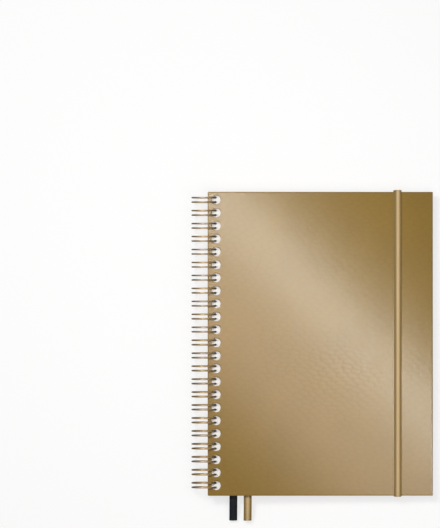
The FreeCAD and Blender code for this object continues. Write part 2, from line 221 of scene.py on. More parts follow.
class Plate:
    """A flat sheet of quads on x and y lines, with a round hole in each of its hole blocks."""

    def __init__(self, build, x_lines, y_lines, height, blocks=(), radius=0.0, rings=4):
        self.build, self.xs, self.ys, self.height = build, np.array(x_lines), np.array(y_lines), height
        grid_x, grid_y = np.meshgrid(self.xs, self.ys, indexing="ij")
        inside = np.zeros(grid_x.shape, bool)
        filled = np.zeros((len(self.xs) - 1, len(self.ys) - 1), bool)
        for i, j, n in blocks:
            inside[i + 1 : i + n, j + 1 : j + n] = True
            filled[i : i + n, j : j + n] = True
        self.ids = np.full(grid_x.shape, -1)
        kept = ~inside
        flat = self.lift(grid_x[kept], grid_y[kept])
        self.ids[kept] = build.add(flat)
        for i, j in zip(*np.nonzero(~filled)):
            corners = (self.ids[i, j], self.ids[i + 1, j], self.ids[i + 1, j + 1], self.ids[i, j + 1])
            build.face([int(c) for c in corners])
        self.rims = [self.open_hole(block, radius, rings) for block in blocks]

    def lift(self, x, y):
        """The points over x and y at the sheet's height."""
        z = self.height(x, y) if callable(self.height) else np.full(len(x), float(self.height))
        return np.stack([x, y, z], axis=1)

    def edge_of(self, i, j, n, m):
        """The point numbers round a block of n by m cells, counterclockwise from its low corner."""
        ids = self.ids
        around = list(ids[i : i + n, j]) + list(ids[i + n, j : j + m])
        around += list(ids[i + n : i : -1, j + m]) + list(ids[i, j + m : j : -1])
        return [int(k) for k in around]

    def open_hole(self, block, radius, rings):
        """Quads from a block's square edge in to a circle, whose point numbers it returns."""
        i, j, n = block
        square = self.edge_of(i, j, n, n)
        middle_x, middle_y = (self.xs[i] + self.xs[i + n]) / 2, (self.ys[j] + self.ys[j + n]) / 2
        turns = turns_round(len(square))
        circle = np.stack([middle_x + radius * np.cos(turns), middle_y + radius * np.sin(turns)], axis=1)
        outer = np.array([self.build.points[k][:2] for k in square])
        before = square
        for ring in range(1, rings + 1):
            share = 1 - (1 - ring / rings) ** 1.2
            plan = outer + (circle - outer) * share
            ids = self.build.add(self.lift(plan[:, 0], plan[:, 1]))
            self.build.bridge(before, ids)
            before = ids
        return before

    def rim(self):
        """The point numbers round the whole sheet."""
        return self.edge_of(0, 0, len(self.xs) - 1, len(self.ys) - 1)


def sweep(build, rings):
    """A closed skin through rings of as many points, with a face at each end."""
    for ring, following in zip(rings, rings[1:]):
        build.bridge(ring, following)
    build.face(rings[0])
    build.face(rings[-1])


def tube(build, path, radius, sides):
    """A round tube with closed ends along a path, without twist."""
    path = np.asarray(path, float)
    tangents = np.gradient(path, axis=0)
    tangents /= np.linalg.norm(tangents, axis=1)[:, None]
    across = np.cross(tangents[0], (0.31, 0.22, 0.93))
    turns = np.arange(sides) * 2 * math.pi / sides
    rings = []
    for point, tangent in zip(path, tangents):
        across = across - tangent * (across @ tangent)
        across /= np.linalg.norm(across)
        other = np.cross(tangent, across)
        circle = np.outer(np.cos(turns), across) + np.outer(np.sin(turns), other)
        rings.append(build.add(point + radius * circle))
    sweep(build, rings)


# ---------------------------------------------------------------- material helpers


class Nodes:
    """A material's nodes: call make() for each, and wire one into another by giving it as a value.
    An input is named, or given as n and its number."""

    def __init__(self, name):
        self.material = bpy.data.materials.new(name)
        self.material.use_nodes = True
        self.tree = self.material.node_tree
        self.tree.nodes.clear()

    def make(self, kind, settings=None, output=0, **inputs):
        """A node, its settings and inputs set, and the socket of it that others take."""
        node = self.tree.nodes.new("ShaderNode" + kind)
        for key, value in (settings or {}).items():
            setattr(node, key, value)
        for key, value in inputs.items():
            name = key.replace("_", " ")
            numbered = name[0] == "n" and name[1:].isdigit()
            socket = node.inputs[int(name[1:]) if numbered else name]
            if isinstance(value, bpy.types.NodeSocket):
                self.tree.links.new(value, socket)
            else:
                socket.default_value = value
        return node.outputs[output] if len(node.outputs) else node

    def place(self):
        """Object coordinates, in metres."""
        return self.make("TexCoord", output=3)

    def value(self, name):
        """A named value of the mesh's points."""
        return self.make("Attribute", {"attribute_name": name}, output=2)

    def math(self, operation, a, b=0.0):
        """One sum of two values or numbers."""
        return self.make("Math", {"operation": operation}, n0=a, n1=b)

    def ramp(self, factor, *stops):
        """A ramp of (position, colour) stops."""
        node = self.tree.nodes.new("ShaderNodeValToRGB")
        self.tree.links.new(factor, node.inputs[0])
        elements = node.color_ramp.elements
        while len(elements) < len(stops):
            elements.new(1.0)
        for element, (position, colour) in zip(elements, stops):
            element.position, element.color = position, (*colour, 1.0)
        return node.outputs[0]

    def noise_at(self, vector, size_mm, detail=3.0, roughness=0.5):
        """Noise in patches of about that size."""
        scale = 1 / (size_mm * MM)
        return self.make("TexNoise", Vector=vector, Scale=scale, Detail=detail, Roughness=roughness)

    def stretched(self, vector, x, y, z):
        """A vector scaled along each axis."""
        return self.make("Mapping", Vector=vector, Scale=(x, y, z))

    def range(self, value, low, high, new_low, new_high):
        """A value's place between two numbers, taken to two others and held between them."""
        return self.make("MapRange", n0=value, n1=low, n2=high, n3=new_low, n4=new_high)

    def multiplied(self, colour, by, share=1.0):
        """A colour times another, or only a share of the way there."""
        settings = {"data_type": "RGBA", "blend_type": "MULTIPLY"}
        return self.make("Mix", settings, output=2, n0=share, n6=colour, n7=by)

    def bump(self, height, depth_mm, strength=1.0, normal=None):
        """A normal bent by a height from 0 to 1 that stands for depth_mm."""
        more = {"Normal": normal} if normal else {}
        return self.make("Bump", Height=height, Strength=strength, Distance=depth_mm * MM, **more)

    def finish(self, **inputs):
        """The material, with the inputs on its shader."""
        surface = self.make("BsdfPrincipled", **inputs)
        self.make("OutputMaterial", Surface=surface)
        return self.material


def linear(red, green, blue):
    """An 8-bit screen colour as a linear one."""
    scaled = [c / 255 for c in (red, green, blue)]
    return tuple(c / 12.92 if c <= 0.04045 else ((c + 0.055) / 1.055) ** 2.4 for c in scaled)


def shade(colour, share):
    """A linear colour made darker or paler."""
    return tuple(c * share for c in colour)


# ---------------------------------------------------------------- materials


def make_leather():
    """Pearl-gold embossed leatherette: a warm metallic ground under a clear, satin top coat."""
    n = Nodes("gold_leatherette")
    at = n.place()
    gold = linear(131, 102, 20)
    groove = n.value("groove")
    cloudy = n.noise_at(at, 45.0)
    grain = n.make("TexVoronoi", {"feature": "DISTANCE_TO_EDGE"}, Vector=at, Scale=1 / (0.9 * MM))
    fine = n.noise_at(at, 0.35, 4.0)
    tone = n.ramp(cloudy, (0.3, shade(gold, 0.96)), (0.7, shade(gold, 1.05)))
    # darker in the grooves: painted shade in the recesses between the scales
    colour = n.multiplied(tone, (0.75, 0.70, 0.60, 1), n.range(groove, 0, 1, 0, 0.2))
    rough = n.math("ADD", n.range(groove, 0, 1, 0.42, 0.5), n.range(fine, 0.3, 0.7, -0.03, 0.03))
    pebbles = n.bump(n.range(grain, 0, 0.25, 0, 1), 0.015, 0.35)
    return n.finish(
        Base_Color=colour, Metallic=0.25, Roughness=rough, Normal=n.bump(fine, 0.012, 0.3, pebbles),
        Specular_IOR_Level=0.2, Specular_Tint=(1.0, 0.60, 0.45, 1.0),
        Coat_Weight=1.0, Coat_Roughness=0.23, Coat_IOR=1.8, Coat_Normal=pebbles,
    )


def make_board():
    """The cut edge of grey board, as the punch leaves it."""
    n = Nodes("punched_board")
    at = n.stretched(n.place(), 1, 1, 5)
    fibre = n.noise_at(at, 0.8, 5.0)
    colour = n.ramp(fibre, (0.3, linear(146, 132, 108)), (0.7, linear(196, 184, 160)))
    return n.finish(Base_Color=colour, Roughness=0.9, Normal=n.bump(fibre, 0.08))


def make_paper(name, colour, layers=0.0):
    """Uncoated paper: faint fibres and cloud, and, on a cut edge, the lines of the leaves."""
    n = Nodes(name)
    at = n.place()
    fibre = n.noise_at(n.stretched(at, 1, 0.35, 1), 0.5, 5.0, 0.6)
    cloud = n.noise_at(at, 9.0, 2.0)
    tone = n.math("ADD", n.range(fibre, 0.3, 0.7, -0.012, 0.012), n.range(cloud, 0.3, 0.7, 0.975, 1.0))
    if layers:
        across = n.noise_at(n.stretched(at, 0.02, 0.02, 1), layers, 2.0)
        tone = n.math("MULTIPLY", tone, n.range(across, 0.35, 0.65, 0.80, 1.0))
    tinted = n.multiplied((*colour, 1), tone)
    return n.finish(Base_Color=tinted, Roughness=0.85, Normal=n.bump(fibre, 0.01, 0.5))


def make_wire_metal():
    """Gold-coated steel wire with painted light: a painted highlight on the crown of a loop and painted
    shade where the loop turns to its sides.
    """
    n = Nodes("gold_wire")
    at = n.place()
    drawn = n.noise_at(at, 0.18, 3.0)
    cloud = n.noise_at(at, 7.0, 2.0)
    # crown is a painted highlight and side is painted shade, for where a loop faces the lamps above or
    # turns away from them
    crown, between, side = linear(198, 174, 140), linear(180, 154, 110), linear(98, 80, 50)
    # the share of painted shade: 0 on a loop's crown, 1 at its sides
    painted_loop_shade = n.math("ADD", n.value("painted_loop_shade"), n.range(cloud, 0.3, 0.7, -0.06, 0.06))
    colour = n.ramp(painted_loop_shade, (0.15, crown), (0.5, between), (0.85, side))
    rough = n.range(drawn, 0.3, 0.7, 0.38, 0.48)
    return n.finish(Base_Color=colour, Metallic=1.0, Roughness=rough, Normal=n.bump(drawn, 0.006, 0.4))


def make_weave(name, width_mm, middle, edge, pitch_mm, depth_mm, roughness):
    """A woven band with painted light: paler along its middle, a painted highlight, and darker to its
    edges, painted shade of its rounded section; threads along it, crossed by finer ones.
    """
    n = Nodes(name)
    along, across = n.value("along"), n.value("across")
    share = n.math("DIVIDE", n.math("ABSOLUTE", across), width_mm / 2)
    halfway = tuple((a + b) / 2 for a, b in zip(middle, edge))
    # painted highlight along the band's middle, painted shade towards its edges
    painted_light_across = n.ramp(share, (0.10, middle), (0.40, halfway), (0.66, edge))
    turn = 2 * math.pi / pitch_mm
    warp = n.math("SINE", n.math("MULTIPLY", across, turn))
    plaited = n.math("MULTIPLY", warp, 1.2)
    weft = n.math("SINE", n.math("ADD", n.math("MULTIPLY", along, turn * 0.8), plaited))
    threads = n.math("ADD", n.math("MULTIPLY", warp, 0.5), n.math("MULTIPLY", weft, 0.5))
    fuzz = n.noise_at(n.place(), 0.25, 4.0)
    height = n.math("ADD", threads, n.range(fuzz, 0.3, 0.7, -0.4, 0.4))
    colour = n.multiplied(painted_light_across, n.range(height, -1, 1, 0.86, 1.06))
    woven = n.bump(height, depth_mm, 0.6)
    return n.finish(
        Base_Color=colour, Roughness=roughness, Specular_IOR_Level=0.3, Normal=woven,
        Sheen_Weight=0.1, Sheen_Roughness=0.4, Sheen_Tint=(*middle, 1),
    )


leather = make_leather()
board = make_board()
leaf_paper = make_paper("leaf_paper", (0.93, 0.925, 0.91))
leaf_edges = make_paper("leaf_edges", (0.90, 0.89, 0.86), layers=0.16)
end_paper = make_paper("end_paper", (0.88, 0.86, 0.81))
wire_metal = make_wire_metal()
# each pair: a band's colour with a painted highlight for its middle, and with painted shade for its edges
gold_painted_light = linear(208, 180, 134), linear(128, 104, 52)
black_painted_light = linear(26, 29, 34), linear(13, 16, 20)
coarse = {"pitch_mm": 0.55, "depth_mm": 0.05, "roughness": 0.55}
satin = {"pitch_mm": 0.3, "depth_mm": 0.02, "roughness": 0.5}
elastic_weave_painted_light = make_weave("elastic_weave_painted_light", ELASTIC_WIDTH, *gold_painted_light, **coarse)
black_satin_painted_light = make_weave("black_satin_painted_light", RIBBON_WIDTH, *black_painted_light, **satin)
gold_satin_painted_light = make_weave("gold_satin_painted_light", RIBBON_WIDTH, *gold_painted_light, **satin)

# ---------------------------------------------------------------- covers


def groove_between_scales(x, y):
    """From 0 on a scale to 1 in the groove round it: a gently bending brickwork of uneven scales."""
    bend_u, bend_v = 0.4 * np.sin(y / 41 + 0.7), 0.6 * np.sin(x / 57 + 0.8)
    ripple = 0.25 * np.sin(x / 7.5 + np.sin(y / 17))
    u = (x - SCALE_SLOPE * y) / SCALE_LENGTH + bend_u
    v = (y + SCALE_SLOPE * x) / SCALE_HEIGHT + bend_v + ripple
    nearest, second = np.full(len(x), 99.0), np.full(len(x), 99.0)
    for row_step in (-1, 0, 1):
        row = np.floor(v) + row_step
        stagger = 0.5 * np.mod(row, 2)
        for column_step in (-1, 0, 1):
            column = np.floor(u - stagger) + column_step
            centre_u = column + stagger + 0.5 + SCALE_SCATTER[0] * (noise(column, row) - 0.5)
            centre_v = row + 0.5 + SCALE_SCATTER[1] * (noise(column + 17, row + 5) - 0.5)
            away_u, away_v = (u - centre_u) * SCALE_LENGTH, (v - centre_v) * SCALE_HEIGHT
            distance = np.hypot(away_u * SCALE_REACH[0], away_v * SCALE_REACH[1])
            second = np.minimum(second, np.maximum(nearest, distance))
            nearest = np.minimum(nearest, distance)
    share = np.clip(1 - (second - nearest) / SCALE_GROOVE, 0, 1)
    return share * share * (3 - 2 * share)


def scale_depth(x, y):
    """How deep the grooves are pressed: shallow, and deeper round one place."""
    away_x = (x - DEEPEST_AT[0]) / DEEPER_WITHIN[0]
    away_y = (y - DEEPEST_AT[1]) / DEEPER_WITHIN[1]
    return SCALE_DEPTH + DEEPER_BY * np.exp(-away_x**2 - away_y**2)


def corner_directions(plate, turn_steps):
    """For each point round a plate's rim the outward directions that its edge rounding takes: one along
    the sides and a fan at the corners."""
    nx, ny = len(plate.xs) - 1, len(plate.ys) - 1
    rim, found = plate.rim(), []
    corners = {0: -180, nx: -90, nx + ny: 0, 2 * nx + ny: 90}
    side = [-90] * nx + [0] * ny + [90] * nx + [180] * ny
    for k, point in enumerate(rim):
        if k in corners:
            angles = [corners[k] + 90 * s / turn_steps for s in range(turn_steps + 1)]
        else:
            angles = [side[k]]
        found += [(point, math.radians(angle)) for angle in angles]
    return found


def embossed(x, y):
    """Heights of a cover's outer face, its grooves fading out at the holes and the edges."""
    hole_gap = np.min([np.hypot(x - HOLE_INSET, y - c) for c in LOOP_YS], axis=0) - HOLE_RADIUS
    edge_gap = np.minimum(np.minimum(x, COVER_WIDTH - x), COVER_LENGTH / 2 - np.abs(y))
    by_hole, by_edge = (hole_gap - HOLE_LIP) / HOLE_FADE, (edge_gap - EDGE_ROUND) / EDGE_FADE
    fade = np.clip(np.minimum(by_hole, by_edge), 0, 1)
    return COVER_THICKNESS - scale_depth(x, y) * fade * groove_between_scales(x, y)


def make_cover(name, body, node, inner_z, way):
    """A wrapped board.  Its heights run from 0 on the inner side to the full thickness outside."""
    step, half = LOOP_PITCH / HOLE_CELLS, LOOP_PITCH / 2
    low_x, high_x = EDGE_ROUND, COVER_WIDTH - EDGE_ROUND
    low_y, high_y = EDGE_ROUND - COVER_LENGTH / 2, COVER_LENGTH / 2 - EDGE_ROUND
    row_low, row_high = LOOP_YS[0] - half, LOOP_YS[-1] + half
    stops = [low_x, HOLE_INSET - half, HOLE_INSET + half, high_x]
    fine_x, coarse_x = divided(stops, [step] * 3), divided(stops, [step, step, COVER_WIDTH])
    y_lines = divided([low_y, row_low, row_high, high_y], [step] * 3)
    first_x = fine_x.index(HOLE_INSET - half)
    first_y = min(range(len(y_lines)), key=lambda j: abs(y_lines[j] - row_low))
    blocks = [(first_x, first_y + i * HOLE_CELLS, HOLE_CELLS) for i in range(LOOP_COUNT)]
    build = Build()
    outer = Plate(build, fine_x, y_lines, embossed, blocks, HOLE_RADIUS + HOLE_LIP)
    inner = Plate(build, coarse_x, y_lines, ENDPAPER_THICKNESS, blocks, HOLE_RADIUS, 3)
    wrap_edge(build, outer, inner)
    wall_holes(build, outer, inner)
    points = np.array(build.points)
    groove = groove_between_scales(points[:, 0], points[:, 1])
    groove[points[:, 2] < COVER_THICKNESS - SCALE_DEPTH - DEEPER_BY] = 0
    build.values["groove"] = groove
    build.points = [(x, y, inner_z + way * h) for x, y, h in build.points]
    return place(build.finish(name, [leather, board]), body, "cover_leather", node)


def wrap_edge(build, outer, inner):
    """The wrapped edge, from the outer face round to the inner one, with the flat rim inside."""
    turned = corner_directions(outer, 4)
    profile = [(EDGE_ROUND * math.sin(t), COVER_THICKNESS - EDGE_ROUND * (1 - math.cos(t)))
               for t in np.radians([22.5, 45, 67.5, 90])]
    profile += [(EDGE_ROUND - INNER_ROUND * (1 - math.cos(t)),
                 ENDPAPER_THICKNESS + INNER_ROUND * (1 - math.sin(t))) for t in np.radians([0, 45, 90])]
    ring = [point for point, _ in turned]
    for out, height in profile:
        plan = [(build.points[p][0] + out * math.cos(a), build.points[p][1] + out * math.sin(a), height)
                for p, a in turned]
        following = build.add(plan)
        build.bridge(ring, following)
        ring = following
    join_inner_rim(build, outer, inner, turned, ring)


def wall_holes(build, outer, inner):
    """The punched walls, their lip rounded by the punch."""
    for before, inner_rim, y in zip(outer.rims, inner.rims, LOOP_YS):
        turns = turns_round(len(before))
        for t in np.radians([45, 90]):
            radius = HOLE_RADIUS + HOLE_LIP * (1 - math.sin(t))
            height = COVER_THICKNESS - HOLE_LIP * (1 - math.cos(t))
            circle = [(HOLE_INSET + radius * math.cos(a), y + radius * math.sin(a), height) for a in turns]
            following = build.add(circle)
            build.bridge(before, following)
            before = following
        build.bridge(before, inner_rim, CUT_SIDE)


def join_inner_rim(build, outer, inner, turned, ring):
    """Closes the inner side between the wrapped edge's last ring and the inner plate's rim: each of the
    plate's long cells takes in all the fine points beside it."""
    copies = {}
    for (point, _), last in zip(turned, ring):
        copies.setdefault(point, []).append(last)
    fine, coarse = outer.rim(), inner.rim()
    at = {tuple(np.round(build.points[p][:2], 6)): k for k, p in enumerate(fine)}
    marks = [at[tuple(np.round(build.points[p][:2], 6))] for p in coarse]
    for c, start in enumerate(marks):
        stop = marks[(c + 1) % len(marks)]
        stop += len(fine) if stop <= start else 0
        corner, fan = coarse[(c + 1) % len(coarse)], copies[fine[stop % len(fine)]]
        outside = [copies[fine[start]][-1]]
        for k in range(start + 1, stop):
            outside += copies[fine[k % len(fine)]]
        build.face([coarse[c], *outside, fan[0], corner])
        for a, b in zip(fan, fan[1:]):
            build.face([corner, a, b])


def elastic_cuts():
    """What each end of the elastic needs cut from the back cover, as (y, z) outlines: a slot right through
    and, beside it, a sunk bed for the end."""
    outer = COVER_LENGTH / 2 - SLOT_INSET
    inner = outer - 2 * ELASTIC_BEND
    bed, floor = inner - TAB_LENGTH, COVER_THICKNESS - ELASTIC_THICKNESS
    below, above = -CUT_OVERSHOOT, COVER_THICKNESS + CUT_OVERSHOOT
    outline = [(bed, floor), (inner, floor), (inner, below), (outer, below), (outer, above), (bed, above)]
    return [[(side * y, z) for y, z in outline] for side in (1, -1)]


def cut_for_elastic(piece):
    """Cuts the elastic's slots and beds out of a piece."""
    half = ELASTIC_WIDTH / 2 + ELASTIC_GAP
    middle = COVER_WIDTH - ELASTIC_INSET
    build = Build()
    for outline in elastic_cuts():
        left = build.add([(middle - half, y, z) for y, z in outline])
        right = build.add([(middle + half, y, z) for y, z in outline])
        build.face(left)
        build.face(right)
        build.bridge(left, right)
    cutter = build.finish("cutter", [board])
    cut = piece.modifiers.new("cut", "BOOLEAN")
    cut.operation, cut.solver, cut.object = "DIFFERENCE", "EXACT", cutter
    cut.material_mode = "TRANSFER"
    bpy.context.view_layer.update()
    evaluated = piece.evaluated_get(bpy.context.evaluated_depsgraph_get())
    mesh = bpy.data.meshes.new_from_object(evaluated)
    piece.modifiers.clear()
    piece.data = mesh
    bpy.data.objects.remove(cutter)


def make_endpaper(name, body, inner_z, way):
    """The paper pasted over the turned-in edges on a cover's inner side, punched with it."""
    step, half = ENDPAPER_BLOCK / HOLE_CELLS, ENDPAPER_BLOCK / 2
    low_x, high_x = ENDPAPER_MARGIN, COVER_WIDTH - ENDPAPER_MARGIN
    low_y, high_y = ENDPAPER_MARGIN - COVER_LENGTH / 2, COVER_LENGTH / 2 - ENDPAPER_MARGIN
    x_lines = [low_x] + divided([HOLE_INSET - half, HOLE_INSET + half, high_x], [step, COVER_WIDTH])
    stops = [low_y] + [c + side * half for c in LOOP_YS for side in (-1, 1)] + [high_y]
    steps = [LOOP_PITCH if i % 2 == 0 else step for i in range(len(stops) - 1)]
    y_lines = divided(stops, steps)
    blocks = [(1, y_lines.index(c - half), HOLE_CELLS) for c in LOOP_YS]
    radius = HOLE_RADIUS + ENDPAPER_HOLE_ROOM
    build = Build()
    pasted = Plate(build, x_lines, y_lines, 0.0, blocks, radius, 3)
    shown = Plate(build, x_lines, y_lines, ENDPAPER_THICKNESS, blocks, radius, 3)
    build.bridge(pasted.rim(), shown.rim())
    for low, high in zip(pasted.rims, shown.rims):
        build.bridge(low, high)
    build.points = [(x, y, inner_z + way * h) for x, y, h in build.points]
    return place(build.finish(name, [end_paper, board]), body, "paper")


def make_covers():
    """Both covers and the papers pasted in them."""
    front_inner, back_inner = STACK - COVER_THICKNESS, COVER_THICKNESS
    make_cover("front_cover_wrapped", "front_board", "front_cover", front_inner, 1)
    back = make_cover("back_cover_wrapped", "back_board", "back_cover", back_inner, -1)
    cut_for_elastic(back)
    make_endpaper("front_endpaper", "front_board", front_inner, 1)
    cut_for_elastic(make_endpaper("back_endpaper", "back_board", back_inner, -1))


# ---------------------------------------------------------------- leaves


def leaves_floor(x):
    """The underside of the leaves: lifted at the spine, let down by two equal arcs."""
    bend = (RISE_LENGTH**2 + LEAVES_RISE**2) / (4 * LEAVES_RISE)
    run = np.clip(x - RISE_START, 0, RISE_LENGTH)
    near = np.minimum(run, RISE_LENGTH / 2)
    far = np.minimum(RISE_LENGTH - run, RISE_LENGTH / 2)
    first = LEAVES_RISE - (bend - np.sqrt(bend**2 - near**2))
    second = bend - np.sqrt(bend**2 - far**2)
    return LEAVES_BOTTOM + np.where(run <= RISE_LENGTH / 2, first, second)


def make_leaves():
    """The leaves as one block: each leaf's edge stands a hair in or out of the next."""
    near, far = LEAVES_SPINE_INSET, COVER_WIDTH - LEAVES_INSET
    half_y = COVER_LENGTH / 2 - LEAVES_INSET
    hole_x = [LEAF_HOLE_INSET - LEAF_HOLE_WIDTH / 2, LEAF_HOLE_INSET + LEAF_HOLE_WIDTH / 2]
    ribbon_half = RIBBON_WIDTH / 2 + RIBBON_ROOM
    channels = [(x - ribbon_half, x + ribbon_half, h / LEAVES_THICKNESS) for x, h in RIBBONS.values()]
    rise = [RISE_START + RISE_LENGTH * k / 8 for k in range(9)]
    x_lines = sorted([near, *hole_x, *rise, *(x for c in channels for x in c[:2]), *LEAF_LINES, far])
    slots = [(c + side * (LEAF_HOLE_LENGTH + LEAF_TONGUE) / 4, (LEAF_HOLE_LENGTH - LEAF_TONGUE) / 4)
             for c in LOOP_YS for side in (-1, 1)]
    y_lines = sorted([-half_y, half_y] + [c + way * half for c, half in slots for way in (-1, 1)])
    build = Build()
    top = Plate(build, x_lines, y_lines, LEAVES_TOP)
    bottom = Plate(build, x_lines, y_lines, lambda x, y: leaves_floor(x))
    punch(build, top, bottom, x_lines.index(hole_x[0]), [y_lines.index(c - half) for c, half in slots])
    stack_edges(build, top, bottom, channels)
    block = build.finish("leaves", [leaf_paper, leaf_edges], 20.0)
    place(block, "bound_leaves", "paper", "page_block")


def punch(build, top, bottom, column, rows):
    """Opens the cells of two plates at a column and rows, and walls each pair of them."""
    punched = [set(plate.edge_of(column, row, 1, 1)) for plate in (top, bottom) for row in rows]
    keep = [not any(len(hole.intersection(face)) == 4 for hole in punched) for face in build.faces]
    build.faces = [face for face, kept in zip(build.faces, keep) if kept]
    build.slots = [slot for slot, kept in zip(build.slots, keep) if kept]
    for row in rows:
        build.bridge(top.edge_of(column, row, 1, 1), bottom.edge_of(column, row, 1, 1))


def stack_edges(build, top, bottom, channels):
    """The leaves' edges, from the bottom leaf to the top one, with each ribbon's channel in the tail edge.
    The leaves under the lower ribbon follow the rise at the spine, and the others lie flat."""
    rim = np.array([build.points[p] for p in bottom.rim()])
    low, high = rim[:, :2].min(axis=0), rim[:, :2].max(axis=0)
    inward = np.where(rim[:, :2] < low + NEAR, 1, np.where(rim[:, :2] > high - NEAR, -1, 0))
    room = (RIBBON_THICKNESS / 2 + RIBBON_ROOM) / LEAVES_THICKNESS
    heights = leaf_heights([middle for *_, middle in channels], room)
    flat_above = min(middle for *_, middle in channels) - room
    before, before_height = bottom.rim(), 0.0
    for number, height in enumerate(heights):
        last = number == len(heights) - 1
        waver = noise(number, np.round(rim[:, 1] / STAGGER_LENGTH))
        stagger = LEAF_STAGGER * (noise(number, 3) + 0.6 * waver)
        plan = rim[:, :2] + inward * (0 if last else stagger[:, None])
        bent = max(0.0, 1 - height / flat_above)
        z = LEAVES_BOTTOM + LEAVES_THICKNESS * height + (rim[:, 2] - LEAVES_BOTTOM) * bent
        following = top.rim() if last else build.add(np.column_stack([plan, z]))
        opened = []
        for i in range(len(before)):
            j = (i + 1) % len(before)
            on_tail = max(rim[i, 1], rim[j, 1]) < low[1] + NEAR
            middle_x = (rim[i, 0] + rim[j, 0]) / 2
            if on_tail and any(before_height < middle < height and left < middle_x < right
                               for left, right, middle in channels):
                opened.append(i)
            else:
                build.face((before[i], before[j], following[j], following[i]), CUT_SIDE)
        if opened:
            stops = [*opened, opened[-1] + 1]
            sink_channel(build, [before[i] for i in stops] + [following[i] for i in reversed(stops)])
        before, before_height = following, height


def leaf_heights(middles, room):
    """Shares of the block's height at which a leaf's edge shows, with a pair round each ribbon."""
    even = [k / LEAF_COUNT for k in range(1, LEAF_COUNT + 1)]
    kept = [h for h in even if all(abs(h - m) > room + 0.5 / LEAF_COUNT for m in middles)]
    return sorted(kept + [m + side * room for m in middles for side in (-1, 1)])


def sink_channel(build, mouth):
    """A channel from its mouth in the tail edge to the ribbon's head end."""
    end_y = COVER_LENGTH / 2 - RIBBON_HEAD_INSET + RIBBON_ROOM
    end = build.add([(build.points[p][0], end_y, build.points[p][2]) for p in mouth])
    build.bridge(mouth, end)
    build.face(end)


# ---------------------------------------------------------------- wire


def arc(centre, first, second, start, stop, parts, with_end=False):
    """Points from start to stop along centre + first cos + second sin."""
    turns = np.linspace(start, stop, parts + 1)[: None if with_end else -1]
    return centre + np.outer(np.cos(turns), first) + np.outer(np.sin(turns), second)


def half_loop():
    """From the base bar round the ring to the middle of the hairpin tip, about y = 0, on the head side."""
    half_gap = TWIN_SPACING / 2
    seam = COVER_THICKNESS + (LEAVES_GAP + LEAVES_RISE) / 2 - STACK / 2
    base = math.asin(seam / math.hypot(RING_RADIUS, BEND_RADIUS)) - math.atan2(BEND_RADIUS, RING_RADIUS)
    tip = math.asin(seam / math.hypot(RING_RADIUS, half_gap)) + math.atan2(half_gap, RING_RADIUS)
    tip -= 2 * math.pi
    out, up, side = np.array([1.0, 0, 0]), np.array([0, 0, 1.0]), np.array([0, 1.0, 0])

    def on_ring(angle):
        return RING_CENTRE + RING_RADIUS * (out * math.cos(angle) + up * math.sin(angle))

    def along_ring(angle):
        return up * math.cos(angle) - out * math.sin(angle)

    corner = on_ring(base) + side * (half_gap + BEND_RADIUS)
    bend = arc(corner, along_ring(base) * BEND_RADIUS, -side * BEND_RADIUS, 0, math.pi / 2, 6)
    ring = arc(RING_CENTRE + side * half_gap, out * RING_RADIUS, up * RING_RADIUS, base, tip, 68)
    hairpin = arc(on_ring(tip), side * half_gap, -along_ring(tip) * half_gap, 0, math.pi / 2, 5, True)
    return np.concatenate([bend, ring, hairpin])


def make_wire():
    """The whole binding: one wire bent into twin loops, joined by base bars."""
    head_side = half_loop()
    tail_side = head_side * (1, -1, 1)
    loop = np.concatenate([tail_side, head_side[-2::-1]])
    path = np.concatenate([loop + (0, y, 0) for y in LOOP_YS])
    stub = np.array([0, LOOP_PITCH / 2 - loop[-1][1], 0])
    path = np.concatenate([[path[0] - stub], path, [path[-1] + stub]])
    build = Build()
    tube(build, path, WIRE_RADIUS, WIRE_SIDES)
    # how far each point lies towards its loop's side, which the wire's colour takes for painted shade
    build.values["painted_loop_shade"] = np.repeat(np.abs(path[:, 0] - RING_CENTRE_X) / RING_RADIUS, WIRE_SIDES)
    wire = build.finish("twin_loop_wire", [wire_metal], 60.0)
    place(wire, "bound_leaves", "gold_wire", "wire_binding")


# ---------------------------------------------------------------- straps


def strap(name, path, middle, section, material, arch=None):
    """A strap swept along a path of (y, z) points at x = middle.  section gives the (across, up) points
    of its outline, and arch how far its middle stands up over its sides at a share of the way."""
    path = np.asarray(path, float)
    tangents = np.gradient(path, axis=0)
    tangents /= np.linalg.norm(tangents, axis=1)[:, None]
    lengths = np.concatenate([[0], np.cumsum(np.linalg.norm(np.diff(path, axis=0), axis=1))])
    half = max(abs(across) for across, _ in section)
    build, rings, along, sideways = Build(), [], [], []
    for point, tangent, length in zip(path, tangents, lengths):
        normal = np.array([tangent[1], -tangent[0]])
        bow = arch(length / lengths[-1]) if arch else 0.0
        ring = []
        for across, up in section:
            lift = up - bow * (across / half) ** 2
            ring.append((middle + across, *(point + normal * lift)))
        rings.append(build.add(ring))
        along += [length] * len(section)
        sideways += [across for across, _ in section]
    sweep(build, rings)
    build.values = {"along": along, "across": sideways}
    return build.finish(name, [material], 50.0)


def evenly(points, step):
    """The points, with more between them so that none is further than step from the next."""
    found = [np.asarray(points[0], float)]
    for a, b in zip(points, points[1:]):
        a, b = np.asarray(a, float), np.asarray(b, float)
        parts = max(1, math.ceil(np.linalg.norm(b - a) / step))
        found += [a + (b - a) * (i + 1) / parts for i in range(parts)]
    return found


def rounded(corners, radius):
    """A path of (y, z) points through square corners, each an arc of the radius."""
    corners = [np.asarray(c, float) for c in corners]
    found = [corners[0]]
    for before, corner, after in zip(corners, corners[1:], corners[2:]):
        arrive = (corner - before) / np.linalg.norm(corner - before)
        leave = (after - corner) / np.linalg.norm(after - corner)
        centre = corner + (leave - arrive) * radius
        turns = np.linspace(0, math.pi / 2, 9)
        found += [centre - leave * radius * math.cos(t) + arrive * radius * math.sin(t) for t in turns]
    return found + [corners[-1]]


